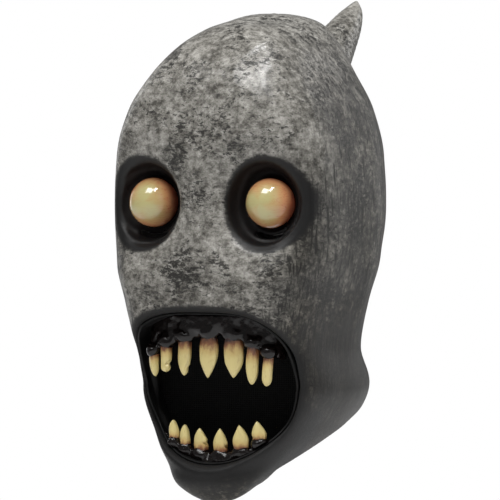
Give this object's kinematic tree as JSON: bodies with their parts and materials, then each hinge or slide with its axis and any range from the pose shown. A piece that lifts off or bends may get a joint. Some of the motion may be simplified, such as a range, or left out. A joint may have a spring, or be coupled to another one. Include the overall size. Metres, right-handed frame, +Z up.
{
  "type": "latex monster mask",
  "caption": "Full-head hollow latex mask of a bald ghoul with bulging eyes, a wide open toothed mouth and a horn at the back of the crown.",
  "frame": {"origin": "middle of the flat underside of the crown pad, where the wearer's crown rests", "axes": "+Z up out of the crown, the face looks along -Y, +X is the mask's left side"},
  "size_m": [0.1862, 0.2787, 0.3979],
  "materials": {
    "skin": "semi-gloss painted latex, mottled grey",
    "eye": "high gloss",
    "patch": "matt latex",
    "lining": "matt black latex",
    "screen": "matt black mesh",
    "gum": "glossy black-brown latex",
    "tooth": "semi-gloss ivory",
    "pad": "matt open foam",
    "foam": "matt foam"
  },
  "bodies": {
    "root": {"head_skin": "skin", "horn_core": "foam", "left_eye": "eye", "right_eye": "eye", "left_eye_patch": "patch", "right_eye_patch": "patch", "mouth_lining": "lining", "mouth_screen": "screen", "upper_gum": "gum", "lower_gum": "gum", "upper_tooth_1": "tooth", "upper_tooth_2": "tooth", "upper_tooth_3": "tooth", "upper_tooth_4": "tooth", "upper_tooth_5": "tooth", "upper_tooth_6": "tooth", "upper_tooth_7": "tooth", "lower_tooth_1": "tooth", "lower_tooth_2": "tooth", "lower_tooth_3": "tooth", "lower_tooth_4": "tooth", "lower_tooth_5": "tooth", "lower_tooth_6": "tooth", "crown_pad": "pad", "brow_pad": "pad", "nape_pad": "pad"}
  },
  "joints": []
}
